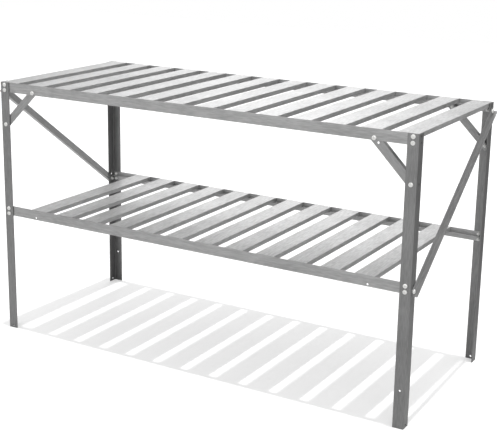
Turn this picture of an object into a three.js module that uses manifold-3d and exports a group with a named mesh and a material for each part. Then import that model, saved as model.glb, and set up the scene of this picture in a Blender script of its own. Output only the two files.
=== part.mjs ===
// Greenhouse staging: a two-tier bench of bolted aluminium angle with slatted shelves.
// Millimetres. X runs along the bench, Y from front to rear and Z up from the floor.
// The origin is on the floor under the middle of the bench.

import * as THREE from 'three';
import { mergeVertices } from 'three/addons/utils/BufferGeometryUtils.js';
import Module from 'manifold-3d';

const wasm = await Module();
wasm.setup();

// The bench as a whole
const benchLength = 1220;
const benchDepth = 500;
const benchHeight = 710;
const lowerShelfTop = 362;

// Clearances
const seatGap = 0.3;
const railEndGap = 0.7;
const slatEndGap = 0.5;
const endSlatGap = 1;
const cutOverrun = 3;

// Corner legs, equal angle with the heel outside
const legFlange = 28;
const legThickness = 2;
const legHeelRadius = 0.8;
const legRootRadius = 1.2;
const legToeRadius = 0.5;
const spareHoleHeight = 96;
const footHoleHeight = 7;

// Shelf rails, a flat web with a ledge that carries the slats
const railHeight = 27;
const railThickness = 1.5;
const ledgeDrop = 11.5;
const ledgeDepth = 12;
const ledgeThickness = 1.5;
const railEdgeRadius = 0.4;

// Slats, shallow channels with the open side down
const slatCount = 14;
const slatWidth = 52;
const slatWall = 1.2;
const slatEdgeRadius = 1;

// Corner braces at 45 degrees under the top rails
const braceFlange = 21;
const braceStanding = 15;
const braceThickness = 1.5;
const braceReach = 95;
const braceEnd = 10;
const braceCornerMargin = 7;

// End diagonals, light angle on the outside of each end
const diagonalFlange = 18;
const diagonalStanding = 12;
const diagonalThickness = 1.5;
const diagonalEnd = 8;
const diagonalCornerRadius = 5;
const barEdgeRadius = 0.4;

// Bolts and nuts
const boltDiameter = 5;
const holeDiameter = 5.6;
const headDiameter = 11;
const headHeight = 3;
const headRimHeight = 0.8;
const nutWidth = 8;
const nutHeight = 4;
const boltTail = 2;
const boltRowDrop = 7;
const boltRowPitch = 14.5;

// Steps in round stretches
const holeSides = 12;
const boltSides = 16;
const nutSides = 6;
const domeSteps = 4;
const cornerSteps = 3;
const mergeShare = 1e-6;

// Places that several pieces share
const endX = benchLength / 2;
const faceY = benchDepth / 2;
const legHoleInset = legFlange / 2;
const lowerRowDrop = boltRowDrop + boltRowPitch;
const rowDrops = [boltRowDrop, lowerRowDrop];
const shelfTops = [benchHeight, lowerShelfTop];
const braceLegDrop = lowerRowDrop + braceReach;
const railOuterY = faceY - legThickness - seatGap;
const railInnerY = railOuterY - railThickness;
const slatHeight = ledgeDrop - seatGap;

// Corners by name, with the side of the bench that each stands on and its quarter turns
const corners = [
  { name: 'front_right', sideX: 1, sideY: -1, quarterTurns: 0 },
  { name: 'rear_right', sideX: 1, sideY: 1, quarterTurns: 1 },
  { name: 'rear_left', sideX: -1, sideY: 1, quarterTurns: 2 },
  { name: 'front_left', sideX: -1, sideY: -1, quarterTurns: 3 },
];
const faces = [
  { name: 'front', turns: 0 },
  { name: 'rear', turns: 1 },
];
const ends = [
  { name: 'right', turns: 0 },
  { name: 'left', turns: 1 },
];

// Finishes
const legFinish = { color: 0x9a9b9c, roughness: 0.42, metalness: 0.9 };
const railFinish = { color: 0xa8a9aa, roughness: 0.4, metalness: 0.9 };
const slatFinish = { color: 0xd2d3d4, roughness: 0.38, metalness: 0.85 };
const barFinish = { color: 0x9fa0a1, roughness: 0.42, metalness: 0.9 };
const boltFinish = { color: 0xe4e4e2, roughness: 0.28, metalness: 0.95 };

// A closed three.js geometry as a solid that can be cut and joined
function solidFrom(geometry) {
  const bare = geometry.clone();
  bare.deleteAttribute('normal');
  bare.deleteAttribute('uv');
  const merged = mergeVertices(bare, benchLength * mergeShare);
  return new wasm.Manifold(new wasm.Mesh({
    numProp: 3,
    vertProperties: new Float32Array(merged.attributes.position.array),
    triVerts: new Uint32Array(merged.index.array),
  }));
}

function geometryFrom(solid) {
  const { vertProperties, triVerts } = solid.getMesh();
  const geometry = new THREE.BufferGeometry();
  geometry.setAttribute('position', new THREE.BufferAttribute(vertProperties, 3));
  geometry.setIndex(new THREE.BufferAttribute(triVerts, 1));
  geometry.computeVertexNormals();
  return geometry;
}

function named(name, geometry, finish) {
  const mesh = new THREE.Mesh(geometry, new THREE.MeshStandardMaterial(finish));
  mesh.name = name;
  return mesh;
}

// A corner list of [x, y, radius] as a closed outline
function roundedShape(points) {
  const shape = new THREE.Shape();
  points.forEach(([x, y, radius], index) => {
    const corner = new THREE.Vector2(x, y);
    const towards = (other) => new THREE.Vector2(other[0], other[1])
      .sub(corner).setLength(radius).add(corner);
    const entry = towards(points.at(index - 1));
    const exit = towards(points[(index + 1) % points.length]);
    if (index === 0) shape.moveTo(entry.x, entry.y);
    else shape.lineTo(entry.x, entry.y);
    if (radius > 0) shape.quadraticCurveTo(x, y, exit.x, exit.y);
  });
  shape.closePath();
  return shape;
}

function prism(points, depth) {
  return new THREE.ExtrudeGeometry(roundedShape(points), {
    depth,
    bevelEnabled: false,
    curveSegments: cornerSteps,
  });
}

// A prism's outline axes and its length turned to the three given directions
function laid(geometry, across, up, along) {
  return geometry.applyMatrix4(new THREE.Matrix4().makeBasis(across, up, along));
}

const alongX = new THREE.Vector3(1, 0, 0);
const alongY = new THREE.Vector3(0, 1, 0);
const alongZ = new THREE.Vector3(0, 0, 1);

// A drill along Y, long enough to pass through the given thickness from either side
function drill(thickness) {
  const radius = holeDiameter / 2;
  return new THREE.CylinderGeometry(radius, radius, thickness + 2 * cutOverrun, holeSides);
}

function cutAll(solid, cutters) {
  return cutters.reduce((rest, cutter) => rest.subtract(solidFrom(cutter)), solid);
}

// Front right leg with its heel at the origin: one flange along the front, one along the end
function legGeometry() {
  const outline = [
    [0, 0, legHeelRadius],
    [0, legFlange, legToeRadius],
    [-legThickness, legFlange, legToeRadius],
    [-legThickness, legThickness, legRootRadius],
    [-legFlange, legThickness, legToeRadius],
    [-legFlange, 0, legToeRadius],
  ];
  const railHoles = shelfTops.flatMap((top) => rowDrops.map((drop) => top - drop));
  const sharedHoles = [...railHoles, benchHeight - braceLegDrop];
  const frontDrills = [...sharedHoles, spareHoleHeight].map((height) => (
    drill(legThickness).translate(-legHoleInset, legThickness / 2, height)));
  const endDrills = [...sharedHoles, footHoleHeight].map((height) => (
    drill(legThickness).rotateZ(Math.PI / 2).translate(-legThickness / 2, legHoleInset, height)));
  const angle = solidFrom(prism(outline, benchHeight));
  return geometryFrom(cutAll(angle, [...frontDrills, ...endDrills]));
}

// Front rail with the outside of its web on Y zero and its top edge on Z zero
function railGeometry() {
  const inner = railThickness;
  const lip = railThickness + ledgeDepth;
  const under = ledgeDrop + ledgeThickness;
  const outline = [
    [0, 0, railEdgeRadius],
    [0, -railHeight, railEdgeRadius],
    [inner, -railHeight, railEdgeRadius],
    [inner, -under, railEdgeRadius],
    [lip, -under, railEdgeRadius],
    [lip, -ledgeDrop, railEdgeRadius],
    [inner, -ledgeDrop, railEdgeRadius],
    [inner, 0, railEdgeRadius],
  ];
  const length = benchLength - 2 * (legThickness + railEndGap);
  const bar = laid(prism(outline, length).translate(0, 0, -length / 2), alongY, alongZ, alongX);
  const endHoleX = endX - legHoleInset;
  const places = [-1, 1].flatMap((side) => [
    ...rowDrops.map((drop) => [side * endHoleX, -drop]),
    [side * (endHoleX - braceReach), -lowerRowDrop],
  ]);
  const drills = places.map(([x, z]) => drill(railThickness).translate(x, railThickness / 2, z));
  return geometryFrom(cutAll(solidFrom(bar), drills));
}

// Slat centred on the origin with its flat top on Z zero
function slatGeometry() {
  const half = slatWidth / 2;
  const inside = half - slatWall;
  const outline = [
    [-half, -slatHeight, 0],
    [-half, 0, slatEdgeRadius],
    [half, 0, slatEdgeRadius],
    [half, -slatHeight, 0],
    [inside, -slatHeight, 0],
    [inside, -slatWall, 0],
    [-inside, -slatWall, 0],
    [-inside, -slatHeight, 0],
  ];
  const length = 2 * (railInnerY - slatEndGap);
  const backwards = alongY.clone().negate();
  return laid(prism(outline, length).translate(0, 0, -length / 2), alongX, alongZ, backwards);
}

// Angle bar along X, its flat flange on Z zero and centred on Y zero, its standing flange upwards
// from the edge on the low side of Y. The outline seen along Z trims the ends of both flanges.
function angleBar({ flat, standing, thickness, span, holes, trim }) {
  const low = -flat / 2;
  const section = [
    [low, 0, barEdgeRadius],
    [flat / 2, 0, barEdgeRadius],
    [flat / 2, thickness, barEdgeRadius],
    [low + thickness, thickness, barEdgeRadius],
    [low + thickness, standing, barEdgeRadius],
    [low, standing, barEdgeRadius],
  ];
  const length = span + 2 * cutOverrun;
  const bar = laid(prism(section, length).translate(0, 0, -length / 2), alongY, alongZ, alongX);
  const keep = prism(trim, standing + 2 * cutOverrun).translate(0, 0, -cutOverrun);
  const drills = holes.map((x) => (
    drill(thickness).rotateX(Math.PI / 2).translate(x, 0, thickness / 2)));
  return cutAll(solidFrom(bar).intersect(solidFrom(keep)), drills);
}

// Brace with its standing flange on the low side of Y and the corners there snipped off at
// 45 degrees, to run level under the ledge at one end and upright beside the heel at the other.
// One end has a spare hole, a bolt row's pitch from the bolt.
const braceSpan = braceReach * Math.SQRT2;

function braceGeometry() {
  const edge = braceFlange / 2;
  const boltX = braceSpan / 2;
  const tip = boltX + braceEnd;
  const snipX = boltX - edge + braceCornerMargin * Math.SQRT2;
  const snipY = snipX - tip + edge;
  const trim = [
    [-snipX, -edge, 0],
    [snipX, -edge, 0],
    [tip, -snipY, 0],
    [tip, edge, 0],
    [-tip, edge, 0],
    [-tip, -snipY, 0],
  ];
  return geometryFrom(angleBar({
    flat: braceFlange,
    standing: braceStanding,
    thickness: braceThickness,
    span: 2 * tip,
    holes: [-boltX, boltRowPitch - boltX, boltX],
    trim,
  }));
}

// Diagonal with its standing flange on the low side of Y and the free corners rounded
const diagonalRun = benchDepth - 2 * legHoleInset;
const diagonalRise = benchHeight - lowerShelfTop;
const diagonalSpan = Math.hypot(diagonalRun, diagonalRise);

function diagonalGeometry() {
  const edge = diagonalFlange / 2;
  const boltX = diagonalSpan / 2;
  const tip = boltX + diagonalEnd;
  const trim = [
    [-tip, -edge, 0],
    [tip, -edge, 0],
    [tip, edge, diagonalCornerRadius],
    [-tip, edge, diagonalCornerRadius],
  ];
  return geometryFrom(angleBar({
    flat: diagonalFlange,
    standing: diagonalStanding,
    thickness: diagonalThickness,
    span: 2 * tip,
    holes: [-boltX, boltX],
    trim,
  }));
}

// Bolt along Y with the underside of its domed head on Y zero, the shank running to plus Y through
// a grip of the given thickness, and a hexagon nut behind the grip with a flat on top
function boltGeometry(grip) {
  const radius = headDiameter / 2;
  const shank = boltDiameter / 2;
  const dome = Array.from({ length: domeSteps }, (_, step) => {
    const angle = (Math.PI / 2) * ((step + 1) / domeSteps);
    return new THREE.Vector2(
      radius * Math.cos(angle),
      -headRimHeight - (headHeight - headRimHeight) * Math.sin(angle),
    );
  });
  dome[domeSteps - 1].x = 0;
  const nutStart = grip + seatGap;
  const tailEnd = nutStart + nutHeight + boltTail;
  const profile = [
    new THREE.Vector2(0, tailEnd),
    new THREE.Vector2(shank, tailEnd),
    new THREE.Vector2(shank, 0),
    new THREE.Vector2(radius, 0),
    new THREE.Vector2(radius, -headRimHeight),
    ...dome,
  ];
  const nutRadius = nutWidth / 2 / Math.cos(Math.PI / nutSides);
  const flatOnTop = Math.PI / nutSides;
  const nut = new THREE.CylinderGeometry(
    nutRadius, nutRadius, nutHeight, nutSides, 1, false, flatOnTop,
  ).translate(0, nutStart + nutHeight / 2, 0);
  const turned = new THREE.LatheGeometry(profile.reverse(), boltSides);
  return geometryFrom(solidFrom(turned).add(solidFrom(nut)));
}

const bench = new THREE.Group();

// Legs, the same piece turned a quarter for each corner
const leg = legGeometry();
for (const { name, sideX, sideY, quarterTurns } of corners) {
  const mesh = named(`leg_${name}`, leg, legFinish);
  mesh.position.set(sideX * endX, sideY * faceY, 0);
  mesh.rotation.z = quarterTurns * (Math.PI / 2);
  bench.add(mesh);
}

// Rails, one piece for all four places
const rail = railGeometry();
for (const { name, turns } of faces) {
  const half = new THREE.Group();
  half.rotation.z = turns * Math.PI;
  for (const [shelf, top] of [['top', benchHeight], ['lower', lowerShelfTop]]) {
    const mesh = named(`rail_${shelf}_${name}`, rail, railFinish);
    mesh.position.set(0, -railOuterY, top);
    half.add(mesh);
  }
  bench.add(half);
}

// Slats, spaced evenly between the legs; the lower shelf goes without the two outermost
const slat = slatGeometry();
const firstSlatX = -endX + legThickness + endSlatGap + slatWidth / 2;
const slatPitch = (-2 * firstSlatX) / (slatCount - 1);
for (let index = 0; index < slatCount; index += 1) {
  const x = firstSlatX + index * slatPitch;
  const number = String(index + 1).padStart(2, '0');
  const top = named(`slat_top_${number}`, slat, slatFinish);
  top.position.set(x, 0, benchHeight);
  bench.add(top);
  if (index > 0 && index < slatCount - 1) {
    const lower = named(`slat_lower_${number}`, slat, slatFinish);
    lower.position.set(x, 0, lowerShelfTop);
    bench.add(lower);
  }
}

// Braces lie on the inside of the rail and lean back by its thickness to meet the leg. The same
// piece serves all corners, so its spare hole is at the rail in two of them and at the leg in two.
const brace = braceGeometry();
const braceOverRail = braceFlange / 2 + (railHeight - lowerRowDrop) * Math.SQRT2;
const leanLength = braceSpan + braceEnd - braceOverRail;
const leanAngle = Math.asin((railThickness + seatGap) / leanLength);
const braceSetBack = seatGap - (braceSpan / 2 - braceOverRail) * Math.tan(leanAngle);
for (const { name, sideX, sideY } of corners) {
  const mirrored = sideX * sideY;
  const inward = new THREE.Vector3(0, -sideY, 0);
  const fromCorner = new THREE.Vector3(-sideX, 0, -1).normalize();
  const along = new THREE.Vector3().crossVectors(fromCorner, inward);
  const seat = new THREE.Group();
  seat.position.set(
    sideX * (endX - legHoleInset - braceReach / 2),
    sideY * (railInnerY - braceSetBack),
    benchHeight - lowerRowDrop - braceReach / 2,
  );
  seat.quaternion.setFromRotationMatrix(new THREE.Matrix4().makeBasis(along, fromCorner, inward));
  const mesh = named(`corner_brace_${name}`, brace, barFinish);
  mesh.rotation.y = -mirrored * leanAngle;
  seat.add(mesh);
  bench.add(seat);
}

// Diagonals on the outside of the ends, low at one leg and high at the other
const diagonal = diagonalGeometry();
const diagonalSlope = Math.atan2(diagonalRise, diagonalRun);
for (const { name, turns } of ends) {
  const end = new THREE.Group();
  end.rotation.z = turns * Math.PI;
  const seat = new THREE.Group();
  const upLine = new THREE.Vector3(0, Math.cos(diagonalSlope), Math.sin(diagonalSlope));
  const upEdge = new THREE.Vector3(0, -Math.sin(diagonalSlope), Math.cos(diagonalSlope));
  seat.quaternion.setFromRotationMatrix(new THREE.Matrix4().makeBasis(upLine, upEdge, alongX));
  seat.position.set(endX + seatGap, 0, (benchHeight + lowerShelfTop) / 2 - lowerRowDrop);
  seat.add(named(`end_diagonal_${name}`, diagonal, barFinish));
  end.add(seat);
  bench.add(end);
}

// Rail bolts, two at each end of each rail
const railBolt = boltGeometry(legThickness + seatGap + railThickness + seatGap);
for (const { name: face, turns } of faces) {
  const half = new THREE.Group();
  half.rotation.z = turns * Math.PI;
  for (const [shelf, top] of [['top', benchHeight], ['lower', lowerShelfTop]]) {
    for (const side of [-1, 1]) {
      const end = side * (turns === 0 ? 1 : -1) > 0 ? 'right' : 'left';
      rowDrops.forEach((drop, row) => {
        const mesh = named(`rail_bolt_${shelf}_${face}_${end}_${row + 1}`, railBolt, boltFinish);
        mesh.position.set(side * (endX - legHoleInset), -faceY - seatGap, top - drop);
        half.add(mesh);
      });
    }
  }
  bench.add(half);
}

// Diagonal bolts, one at each end of each diagonal
const diagonalBolt = boltGeometry(diagonalThickness + seatGap + legThickness + seatGap);
for (const { name, turns } of ends) {
  const end = new THREE.Group();
  end.rotation.z = turns * Math.PI;
  const places = [
    ['low', -1, lowerShelfTop],
    ['high', 1, benchHeight],
  ];
  for (const [height, side, top] of places) {
    const mesh = named(`diagonal_bolt_${name}_${height}`, diagonalBolt, boltFinish);
    mesh.rotation.z = Math.PI / 2;
    mesh.position.set(
      endX + seatGap + diagonalThickness + seatGap,
      side * (faceY - legHoleInset),
      top - lowerRowDrop,
    );
    end.add(mesh);
  }
  bench.add(end);
}

export default bench;
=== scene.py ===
# Greenhouse staging, a two-tier bench of bolted aluminium angle, dressed for a white studio picture.
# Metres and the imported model's own frame throughout: X along the bench, Y front to rear, Z up.
# Sizes that a workshop reads in millimetres go through mm().

import math
import random

import bmesh
import bpy
from mathutils import Matrix, Vector


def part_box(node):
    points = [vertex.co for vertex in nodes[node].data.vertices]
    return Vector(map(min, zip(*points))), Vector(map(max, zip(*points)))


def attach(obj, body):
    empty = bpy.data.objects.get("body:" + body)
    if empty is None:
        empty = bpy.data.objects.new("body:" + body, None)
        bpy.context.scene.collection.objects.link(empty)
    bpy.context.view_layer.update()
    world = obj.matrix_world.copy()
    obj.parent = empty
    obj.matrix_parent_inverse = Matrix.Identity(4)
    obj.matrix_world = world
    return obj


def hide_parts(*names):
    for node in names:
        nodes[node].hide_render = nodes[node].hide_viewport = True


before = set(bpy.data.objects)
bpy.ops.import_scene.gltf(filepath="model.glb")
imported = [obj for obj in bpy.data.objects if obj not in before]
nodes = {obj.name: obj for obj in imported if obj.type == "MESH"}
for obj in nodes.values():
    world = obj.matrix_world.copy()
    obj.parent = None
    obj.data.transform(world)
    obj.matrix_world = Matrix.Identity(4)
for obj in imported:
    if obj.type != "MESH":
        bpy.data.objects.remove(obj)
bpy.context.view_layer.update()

print("frame loaded with", len(nodes), "nodes")


def mm(size):
    return size / 1000


def linearColour(code):
    # an sRGB hex code as the linear values that a shader takes
    channels = [int(code[place:place + 2], 16) / 255 for place in (1, 3, 5)]
    bent = [c / 12.92 if c <= 0.04045 else ((c + 0.055) / 1.055) ** 2.4 for c in channels]
    return (*bent, 1)


def addNode(tree, kind, inputs=None, **settings):
    # inputs holds values or the sockets of other nodes, by the input's name or number
    node = tree.nodes.new(kind)
    for name, value in settings.items():
        setattr(node, name, value)
    for place, value in (inputs or {}).items():
        if isinstance(value, bpy.types.NodeSocket):
            tree.links.new(value, node.inputs[place])
        else:
            node.inputs[place].default_value = value
    return node


def addObject(name, data):
    thing = bpy.data.objects.new(name, data)
    bpy.context.scene.collection.objects.link(thing)
    return thing


def blankMaterial(name):
    material = bpy.data.materials.new(name)
    material.use_nodes = True
    material.node_tree.nodes.clear()
    return material


def meshFrom(bm, name):
    mesh = bpy.data.meshes.new(name)
    bm.to_mesh(mesh)
    bm.free()
    return mesh


# Camera, at the photograph's height and angle
shot = {
    "place": (1.5178, -2.5443, 1.2088),
    "heading": 30.29,        # degrees from +Y towards -X
    "dip": 14.61,            # degrees below level
    "roll": 1.0,             # degrees about the line of sight
    "lens": 81.99,           # on a 36 mm sensor
    "shiftY": -0.06,         # brings the uprights nearer to parallel, as they are in the photograph
}


def addCamera():
    lens = bpy.data.cameras.new("camera")
    lens.lens = shot["lens"]
    lens.shift_y = shot["shiftY"]
    camera = addObject("camera", lens)
    turn = (
        Matrix.Rotation(math.radians(shot["heading"]), 4, "Z")
        @ Matrix.Rotation(math.radians(90 - shot["dip"]), 4, "X")
        @ Matrix.Rotation(math.radians(shot["roll"]), 4, "Z")
    )
    camera.matrix_world = Matrix.Translation(shot["place"]) @ turn
    bpy.context.scene.camera = camera


addCamera()
print("camera in place")


# Studio: white sweep, a high light that throws the slats' stripes, and two soft boxes
studio = {
    "floorSize": 14,
    "paperColour": "#FFFFFF",
    "mirroredFront": "#B8B8B8",      # the floor as the metal mirrors it, in front of the bench
    "mirroredBack": "#767676",       # and behind it, where less light falls
    "backStart": -0.1,               # the places along Y between which the one turns into the other
    "backEnd": 1.1,
    "whiteShare": 0.42,              # how far the camera sees the floor as plain white
    "worldColour": "#FFFFFF",
    "worldFill": 0.78,               # the world's strength as a light
    "frontTone": 0.95,               # and as the metal mirrors it, low down in front of the bench
    "backTone": 0.5,                 # and behind it, where the sweep is in shade
    "sweepFront": -0.8,              # the directions, along Y, between which the one turns into the other
    "sweepBack": 0.1,
    "sweepTop": 0.35,                # the sine of the height up to which the metal mirrors the sweep
    "ceilingStart": 0.75,            # and from which it mirrors the ceiling
    "ceilingTone": 0.8,
    "stripeLean": (-0.04, 0),        # how far the stripes slide for each metre of height
    "stripeStrength": 2,
    "stripeAngle": 1.1,              # degrees, small enough to keep the stripes crisp
}
softBoxes = {
    "rear soft box": {
        "place": (-1.35, 2.6, 3.1), "aim": (0, 0, 0.7), "size": (1.9, 2.0), "power": 32,
    },
    "front soft box": {
        "place": (2.4, -2.8, 3.4), "aim": (0, 0, 0.5), "size": (2.2, 1.6), "power": 22,
    },
}


def clearSight(tree, ray):
    # 1 on rays from the camera, straight or through glass, and 0 on all others
    return addNode(tree, "ShaderNodeMath", {
        0: ray.outputs["Is Camera Ray"], 1: ray.outputs["Is Transmission Ray"],
    }, operation="MAXIMUM").outputs[0]


def addWorld():
    # White to the camera. Metal mirrors the sweep low down, which is lit in front and in shade behind
    # the bench, and the ceiling above it; everything else gets a soft fill.
    world = bpy.data.worlds.new("white studio")
    world.use_nodes = True
    tree = world.node_tree
    tree.nodes.clear()
    ray = addNode(tree, "ShaderNodeLightPath")
    direction = addNode(tree, "ShaderNodeTexCoord").outputs["Generated"]
    parts = addNode(tree, "ShaderNodeSeparateXYZ", {0: direction})
    low = addNode(tree, "ShaderNodeMapRange", {
        0: parts.outputs["Y"],
        "From Min": studio["sweepFront"],
        "From Max": studio["sweepBack"],
        "To Min": studio["frontTone"],
        "To Max": studio["backTone"],
    }, interpolation_type="SMOOTHSTEP")
    sweep = addNode(tree, "ShaderNodeMapRange", {
        0: parts.outputs["Z"],
        "From Min": studio["sweepTop"],
        "From Max": studio["ceilingStart"],
        "To Min": low.outputs[0],
        "To Max": studio["ceilingTone"],
    }, interpolation_type="SMOOTHSTEP")
    mirrored = addNode(tree, "ShaderNodeMix", {
        "Factor": ray.outputs["Is Glossy Ray"], "A": studio["worldFill"], "B": sweep.outputs[0],
    })
    strength = addNode(tree, "ShaderNodeMix", {
        "Factor": clearSight(tree, ray), "A": mirrored.outputs["Result"], "B": 1,
    })
    back = addNode(tree, "ShaderNodeBackground", {
        "Color": linearColour(studio["worldColour"]), "Strength": strength.outputs["Result"],
    })
    addNode(tree, "ShaderNodeOutputWorld", {"Surface": back.outputs[0]})
    bpy.context.scene.world = world


def seamlessPaper():
    # Uncoated white background paper: quite matt, so the camera sees nothing in it but the bench's
    # shadow; to all other rays it shows grey, with painted shade that darkens it behind the bench
    paper = blankMaterial("seamless white paper")
    tree = paper.node_tree
    ray = addNode(tree, "ShaderNodeLightPath")
    clear = clearSight(tree, ray)
    white = addNode(tree, "ShaderNodeMath", {0: clear, 1: studio["whiteShare"]}, operation="MULTIPLY")
    place = addNode(tree, "ShaderNodeTexCoord").outputs["Object"]
    depth = addNode(tree, "ShaderNodeSeparateXYZ", {0: place}).outputs["Y"]
    # painted shade: behind the bench the paper turns from the mirroredFront grey to the darker
    # mirroredBack
    back = addNode(tree, "ShaderNodeMapRange", {
        0: depth, "From Min": studio["backStart"], "From Max": studio["backEnd"],
    })
    mirrored = addNode(tree, "ShaderNodeMix", {
        "Factor": back.outputs[0],
        "A": linearColour(studio["mirroredFront"]),
        "B": linearColour(studio["mirroredBack"]),
    }, data_type="RGBA")
    colour = addNode(tree, "ShaderNodeMix", {
        "Factor": clear,
        "A": mirrored.outputs["Result"],
        "B": linearColour(studio["paperColour"]),
    }, data_type="RGBA")
    matt = addNode(tree, "ShaderNodeBsdfDiffuse", {"Color": colour.outputs["Result"]})
    glow = addNode(tree, "ShaderNodeEmission", {"Strength": 1})
    mixed = addNode(tree, "ShaderNodeMixShader", {
        0: white.outputs[0], 1: matt.outputs[0], 2: glow.outputs[0],
    })
    addNode(tree, "ShaderNodeOutputMaterial", {"Surface": mixed.outputs[0]})
    return paper


def addFloor():
    bm = bmesh.new()
    bmesh.ops.create_grid(bm, x_segments=1, y_segments=1, size=studio["floorSize"] / 2)
    floor = addObject("floor", meshFrom(bm, "floor"))
    floor.data.materials.append(seamlessPaper())


def aimed(direction):
    return Vector(direction).to_track_quat("-Z", "Y").to_euler()


def addLamps():
    # the metal doesn't mirror the high light, which would only glare in the end braces
    sun = bpy.data.lights.new("high light", "SUN")
    sun.energy = studio["stripeStrength"]
    sun.angle = math.radians(studio["stripeAngle"])
    high = addObject("high light", sun)
    high.rotation_euler = aimed((*studio["stripeLean"], -1))
    high.visible_glossy = False
    for name, box in softBoxes.items():
        lamp = bpy.data.lights.new(name, "AREA")
        lamp.shape = "RECTANGLE"
        lamp.size, lamp.size_y = box["size"]
        lamp.energy = box["power"]
        placed = addObject(name, lamp)
        placed.location = box["place"]
        placed.rotation_euler = aimed(Vector(box["aim"]) - Vector(box["place"]))


addWorld()
addFloor()
addLamps()
bpy.context.scene.view_settings.view_transform = "Standard"
print("studio lit")


# Finishes. Aluminium as it leaves the press: silvery grey, satin, with die lines along each bar.
# Real die lines are some 0.3 mm apart, which is under a pixel here, so they are drawn wider.
millFinish = {
    # a pattern's size is its length along the bar and its width both ways across it
    "streaks": {"size": (mm(420), mm(3.2), mm(3.2)), "detail": 3},
    "dieLines": {"size": (mm(160), mm(0.7), mm(0.7)), "detail": 2},
    "clouds": {"size": (mm(95), mm(95), mm(95)), "detail": 2},
    "speckle": {"size": (mm(22), mm(2.6), mm(2.6)), "detail": 2},     # of the pressed skin, drawn coarser
    "speckleWeight": 2,              # in the sum that sets the tone, where streaks and clouds have 1 each
    "darkSum": 1.5,                  # the sum that gives the dark tone
    "lightSum": 2.5,                 # and the light one
    "streakLow": 0.3,                # the streaks' values between which the roughness swings
    "streakHigh": 0.7,
    "roughnessSwing": 0.1,
    "lineDepth": mm(0.02),
    "swellDepth": mm(0.25),
}
slope = {
    "brace": 45,                     # degrees from level
    "diagonal": 36.4,
}
bars = {
    # lengthTurn turns the pattern's X axis onto the bar's length, in degrees about X, Y and Z
    "leg": {
        "name": "mill-finish aluminium angle, upright",
        "light": "#9C9C9C", "dark": "#888888", "roughness": 0.44,
        "lengthTurn": (0, -90, 0),
    },
    "rail": {
        "name": "mill-finish aluminium extrusion, rail",
        "light": "#C0C0C0", "dark": "#A6A6A6", "roughness": 0.46,
        "lengthTurn": (0, 0, 0),
    },
    "slat": {
        "name": "mill-finish aluminium channel, slat",
        "light": "#DEDEDE", "dark": "#BCBCBC", "roughness": 0.5,
        "lengthTurn": (0, 0, 90),
    },
    "braceDown": {
        "name": "mill-finish aluminium angle, brace down to the right",
        "light": "#B0B0B0", "dark": "#9A9A9A", "roughness": 0.46,
        "lengthTurn": (0, slope["brace"], 0),
    },
    "braceUp": {
        "name": "mill-finish aluminium angle, brace up to the right",
        "light": "#B0B0B0", "dark": "#9A9A9A", "roughness": 0.46,
        "lengthTurn": (0, -slope["brace"], 0),
    },
    "diagonalRight": {
        "name": "mill-finish aluminium angle, right diagonal",
        "light": "#C2C2C2", "dark": "#AAAAAA", "roughness": 0.46,
        "lengthTurn": (0, -slope["diagonal"], 90),
    },
    "diagonalLeftPaintedLight": {
        # painted light: the same bar as the right diagonal, drawn brighter to lift the shade on its inner
        # side, the side in view
        "name": "mill-finish aluminium angle, left diagonal, painted light",
        "light": "#DADADA", "dark": "#C0C0C0", "roughness": 0.46,
        "lengthTurn": (0, slope["diagonal"], 90),
    },
}


def extrudedAluminium(bar):
    # Bare extruded aluminium: a soft satin shine, drawn out along the bar and faintly speckled
    material = blankMaterial(bar["name"])
    tree = material.node_tree
    place = addNode(tree, "ShaderNodeTexCoord").outputs["Object"]
    turn = [math.radians(angle) for angle in bar["lengthTurn"]]

    def noise(pattern):
        spread = addNode(tree, "ShaderNodeMapping", {
            "Vector": place, "Rotation": turn, "Scale": pattern["size"],
        }, vector_type="TEXTURE")
        return addNode(tree, "ShaderNodeTexNoise", {
            "Vector": spread.outputs[0], "Scale": 1, "Detail": pattern["detail"],
        }).outputs["Fac"]

    streaks = noise(millFinish["streaks"])
    dieLines = noise(millFinish["dieLines"])
    clouds = noise(millFinish["clouds"])
    speckle = noise(millFinish["speckle"])
    blend = addNode(tree, "ShaderNodeMath", {0: streaks, 1: clouds}, operation="ADD")
    speckled = addNode(tree, "ShaderNodeMath", {
        0: speckle, 1: millFinish["speckleWeight"], 2: blend.outputs[0],
    }, operation="MULTIPLY_ADD")
    tone = addNode(tree, "ShaderNodeMapRange", {
        0: speckled.outputs[0], "From Min": millFinish["darkSum"], "From Max": millFinish["lightSum"],
    })
    colour = addNode(tree, "ShaderNodeMix", {
        "Factor": tone.outputs[0],
        "A": linearColour(bar["dark"]),
        "B": linearColour(bar["light"]),
    }, data_type="RGBA")
    swing = millFinish["roughnessSwing"] / 2
    roughness = addNode(tree, "ShaderNodeMapRange", {
        0: streaks,
        "From Min": millFinish["streakLow"],
        "From Max": millFinish["streakHigh"],
        "To Min": bar["roughness"] - swing,
        "To Max": bar["roughness"] + swing,
    })
    swell = addNode(tree, "ShaderNodeBump", {"Height": clouds, "Distance": millFinish["swellDepth"]})
    grooves = addNode(tree, "ShaderNodeBump", {
        "Height": dieLines,
        "Distance": millFinish["lineDepth"],
        "Normal": swell.outputs[0],
    })
    shader = addNode(tree, "ShaderNodeBsdfPrincipled", {
        "Base Color": colour.outputs["Result"],
        "Metallic": 1,
        "Roughness": roughness.outputs[0],
        "Normal": grooves.outputs[0],
    })
    addNode(tree, "ShaderNodeOutputMaterial", {"Surface": shader.outputs[0]})
    return material


finishes = {name: extrudedAluminium(bar) for name, bar in bars.items()}


def barOf(node):
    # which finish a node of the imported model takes, from its name
    if node.startswith("corner_brace"):
        return "braceDown" if node.endswith("right") else "braceUp"
    if node.startswith("end_diagonal"):
        return "diagonalRight" if node.endswith("right") else "diagonalLeftPaintedLight"
    return node.split("_")[0]


for name, piece in nodes.items():
    if "bolt" not in name:
        piece.data.materials.clear()
        piece.data.materials.append(finishes[barOf(name)])
print("bars finished")


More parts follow.
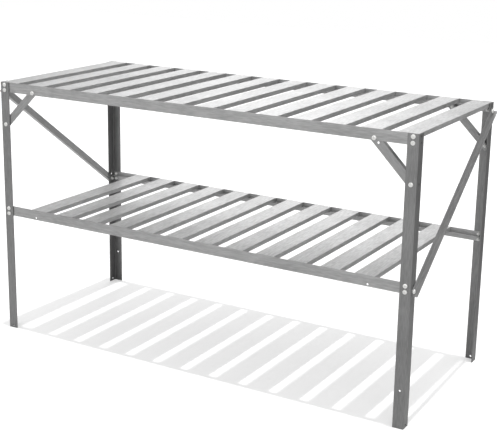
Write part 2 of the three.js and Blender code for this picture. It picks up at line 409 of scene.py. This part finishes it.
# Screws and nuts
fixing = {
    "headDiameter": mm(11),
    "headHeight": mm(3),
    "headRound": mm(2.1),
    "headSteps": 6,
    "shankDiameter": mm(5),
    "shankLength": mm(10.4),
    "threadPitch": mm(0.8),
    "threadDepth": mm(0.42),
    "threadTurns": 9,
    "tail": mm(2),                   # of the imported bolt, beyond its nut
    "crossSpan": mm(5),
    "crossWidth": mm(1.15),
    "crossDepth": mm(1.7),
    "crossTaper": 0.55,              # the recess at its floor, against its mouth
    "nutWidth": mm(8),
    "nutHeight": mm(4),
    "nutSides": 6,
    "nutChamfer": mm(0.5),
    "nutSkin": mm(0.02),             # how far the round that trims the corners stands off them
    "boreClearance": mm(0.1),
    "boreOverrun": mm(4),
    "sides": 32,                     # of every round
    "smoothAngle": 32,               # degrees between faces, past which an edge stays sharp
    "turnSeed": 7,                   # each screw and nut is tightened to a turn of its own
}
tumbled = {
    "name": "barrel-finished aluminium, screws and nuts",
    "light": "#FAFAF8", "dark": "#E8E8E6",
    "metallic": 0.25,                # the tumbled skin scatters most of its light
    "roughness": 0.42,
    "roughnessSwing": 0.16,
    "fleckSize": mm(1.6),
    "fleckDetail": 2,
}


def tumbledAluminium():
    # Barrel-finished aluminium: tumbled with stones, so almost white and evenly satin
    material = blankMaterial(tumbled["name"])
    tree = material.node_tree
    place = addNode(tree, "ShaderNodeTexCoord").outputs["Object"]
    flecks = addNode(tree, "ShaderNodeTexNoise", {
        "Vector": place, "Scale": 1 / tumbled["fleckSize"], "Detail": tumbled["fleckDetail"],
    }).outputs["Fac"]
    colour = addNode(tree, "ShaderNodeMix", {
        "Factor": flecks,
        "A": linearColour(tumbled["dark"]),
        "B": linearColour(tumbled["light"]),
    }, data_type="RGBA")
    swing = tumbled["roughnessSwing"] / 2
    roughness = addNode(tree, "ShaderNodeMapRange", {
        0: flecks, "To Min": tumbled["roughness"] - swing, "To Max": tumbled["roughness"] + swing,
    })
    shader = addNode(tree, "ShaderNodeBsdfPrincipled", {
        "Base Color": colour.outputs["Result"],
        "Metallic": tumbled["metallic"],
        "Roughness": roughness.outputs[0],
    })
    addNode(tree, "ShaderNodeOutputMaterial", {"Surface": shader.outputs[0]})
    return material


def carved(target, tool, operation):
    # the target mesh after a boolean with the tool's mesh; both helper objects are removed
    body = addObject("body", target)
    cutter = addObject("cutter", tool)
    cut = body.modifiers.new("cut", "BOOLEAN")
    cut.operation = operation
    cut.object = cutter
    cut.solver = "EXACT"
    seen = body.evaluated_get(bpy.context.evaluated_depsgraph_get())
    mesh = bpy.data.meshes.new_from_object(seen)
    for helper in (body, cutter):
        bpy.data.objects.remove(helper)
    return mesh


def addBarrel(bm, sides, radius, depth, middle):
    # an upright cylinder or prism, centred on the height of middle
    bmesh.ops.create_cone(bm, cap_ends=True, segments=sides, radius1=radius, radius2=radius,
                          depth=depth, matrix=Matrix.Translation((0, 0, middle)))


def bevelEdges(bm, edges, size, steps):
    bmesh.ops.bevel(bm, geom=edges, offset=size, offset_type="OFFSET", segments=steps,
                    profile=0.5, affect="EDGES", material=-1)


def extrudeEnd(bm, face, depth, scale=1):
    # pushes a face on the low side of Z down by depth and scales it, and gives the new face
    new = bmesh.ops.extrude_discrete_faces(bm, faces=[face])["faces"][0]
    bmesh.ops.translate(bm, verts=new.verts, vec=(0, 0, -depth))
    centre = new.calc_center_median()
    bmesh.ops.scale(bm, verts=new.verts, vec=(scale, scale, 1), space=Matrix.Translation(-centre))
    return new


def crossArm(size):
    # one arm of the cross recess, narrower at its floor, with its upper half above the head
    bm = bmesh.new()
    arm = bmesh.ops.create_cube(bm, size=1)["verts"]
    bmesh.ops.scale(bm, verts=arm, vec=(*size, 2 * fixing["crossDepth"]))
    bmesh.ops.translate(bm, verts=arm, vec=(0, 0, fixing["headHeight"]))
    low = [v for v in arm if v.co.z < fixing["headHeight"]]
    bmesh.ops.scale(bm, verts=low, vec=(fixing["crossTaper"], fixing["crossTaper"], 1))
    return meshFrom(bm, "arm")


def screwMesh():
    # head up, with its underside on Z zero and the shank below
    radius = fixing["headDiameter"] / 2
    height = fixing["headHeight"]
    shank = fixing["shankDiameter"] / 2
    pitch = fixing["threadPitch"]
    bm = bmesh.new()
    addBarrel(bm, fixing["sides"], radius, height, height / 2)
    rim = [edge for edge in bm.edges if all(v.co.z > height / 2 for v in edge.verts)]
    bevelEdges(bm, rim, fixing["headRound"], fixing["headSteps"])
    under = min(bm.faces, key=lambda face: face.calc_center_median().z)
    bmesh.ops.inset_region(bm, faces=[under], thickness=radius - shank, use_even_offset=True)
    end = extrudeEnd(bm, under, fixing["shankLength"] - fixing["threadTurns"] * pitch)
    valley = 1 - fixing["threadDepth"] / shank
    for _ in range(fixing["threadTurns"]):
        end = extrudeEnd(bm, end, pitch / 2, valley)
        end = extrudeEnd(bm, end, pitch / 2, 1 / valley)
    bevelEdges(bm, list(end.edges), fixing["threadDepth"] / 2, 1)
    bmesh.ops.recalc_face_normals(bm, faces=bm.faces)
    mesh = meshFrom(bm, "screw")
    arm = (fixing["crossSpan"], fixing["crossWidth"])
    for size in (arm, arm[::-1]):
        mesh = carved(mesh, crossArm(size), "DIFFERENCE")
    return mesh


def nutMesh():
    # a hexagon with rounded-off corners, its seat on Z zero and its body below
    height = fixing["nutHeight"]
    middle = -height / 2
    corner = fixing["nutWidth"] / 2 / math.cos(math.pi / fixing["nutSides"])
    bm = bmesh.new()
    addBarrel(bm, fixing["nutSides"], corner, height, middle)
    hexagon = meshFrom(bm, "hexagon")
    bm = bmesh.new()
    addBarrel(bm, fixing["sides"], corner + fixing["nutSkin"], height, middle)
    rims = [edge for edge in bm.edges if len({v.co.z > middle for v in edge.verts}) == 1]
    bevelEdges(bm, rims, fixing["nutChamfer"], 1)
    blank = carved(hexagon, meshFrom(bm, "barrel"), "INTERSECT")
    bm = bmesh.new()
    bore = (fixing["shankDiameter"] + fixing["boreClearance"]) / 2
    addBarrel(bm, fixing["sides"], bore, height + 2 * fixing["boreOverrun"], middle)
    return carved(blank, meshFrom(bm, "bore"), "DIFFERENCE")


def addFixing(mesh, name, point, outward, angle):
    # a copy of the mesh with its +Z turned to outward, its own turn about that axis, and Z zero on point
    copy = mesh.copy()
    copy.name = name
    facing = outward.to_track_quat("Z", "X").to_matrix().to_4x4()
    copy.transform(Matrix.Translation(point) @ facing @ Matrix.Rotation(angle, 4, "Z"))
    piece = addObject(name, copy)
    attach(piece, "root")
    return piece


tumbledMetal = tumbledAluminium()
screw = screwMesh()
nut = nutMesh()
for mesh in (screw, nut):
    mesh.materials.clear()
    mesh.materials.append(tumbledMetal)
    for polygon in mesh.polygons:
        polygon.use_smooth = True
    mesh.set_sharp_from_angle(angle=math.radians(fixing["smoothAngle"]))

turns = random.Random(fixing["turnSeed"])


def addPair(name, headSeat, nutSeat, outward):
    # a screw with its head's underside on headSeat, and the nut that faces it
    head = addFixing(screw, name, headSeat, outward, turns.uniform(0, math.pi))
    addFixing(nut, name.replace("screw", "nut"), nutSeat, outward, turns.uniform(0, math.pi))
    return head


def dressBolt(name):
    # a packed bolt gives the places of its screw and nut; its head is the end that faces out of the bench
    low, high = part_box(name)
    middle = (low + high) / 2
    along = 0 if name.startswith("diagonal") else 1
    outward = Vector((0, 0, 0))
    outward[along] = math.copysign(1, middle[along])
    tip, tail = (high, low) if outward[along] > 0 else (low, high)
    headSeat = middle.copy()
    headSeat[along] = tip[along] - outward[along] * fixing["headHeight"]
    nutSeat = middle.copy()
    nutSeat[along] = tail[along] + outward[along] * (fixing["tail"] + fixing["nutHeight"])
    head = addPair(name.replace("bolt", "screw"), headSeat, nutSeat, outward)
    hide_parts(name)


# A corner brace has one screw in the rail and one in the leg, each a reach from the rail's lower screw
braceFixing = {
    "reach": mm(95),
    "railNut": mm(3.6),              # from the face of the rail to the back of the brace
    "legNut": mm(4),                 # from the face of the leg to the back of the brace
}


def fixBrace(half, end):
    corner = f"{half}_{end}"
    side = 1 if end == "right" else -1
    face = 1 if half == "rear" else -1
    outer = 1 if half == "rear" else 0       # which corner of a box is on the outside
    low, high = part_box(f"rail_bolt_top_{corner}_2")
    start = (low + high) / 2
    railFace = abs(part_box(f"rail_top_{half}")[outer].y)
    legFace = abs(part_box(f"leg_{corner}")[outer].y)
    reach = braceFixing["reach"]
    spots = {
        "rail": (start.x - side * reach, start.z, railFace, braceFixing["railNut"]),
        "leg": (start.x, start.z - reach, legFace, braceFixing["legNut"]),
    }
    for spot, (x, z, y, back) in spots.items():
        headSeat = Vector((x, face * y, z))
        nutSeat = Vector((x, face * (y - back), z))
        addPair(f"brace_screw_{corner}_{spot}", headSeat, nutSeat, Vector((0, face, 0)))


for name in nodes:
    if "bolt" in name:
        dressBolt(name)
for half, end in (("front", "right"), ("rear", "right"), ("rear", "left"), ("front", "left")):
    fixBrace(half, end)
print("screws and nuts placed")
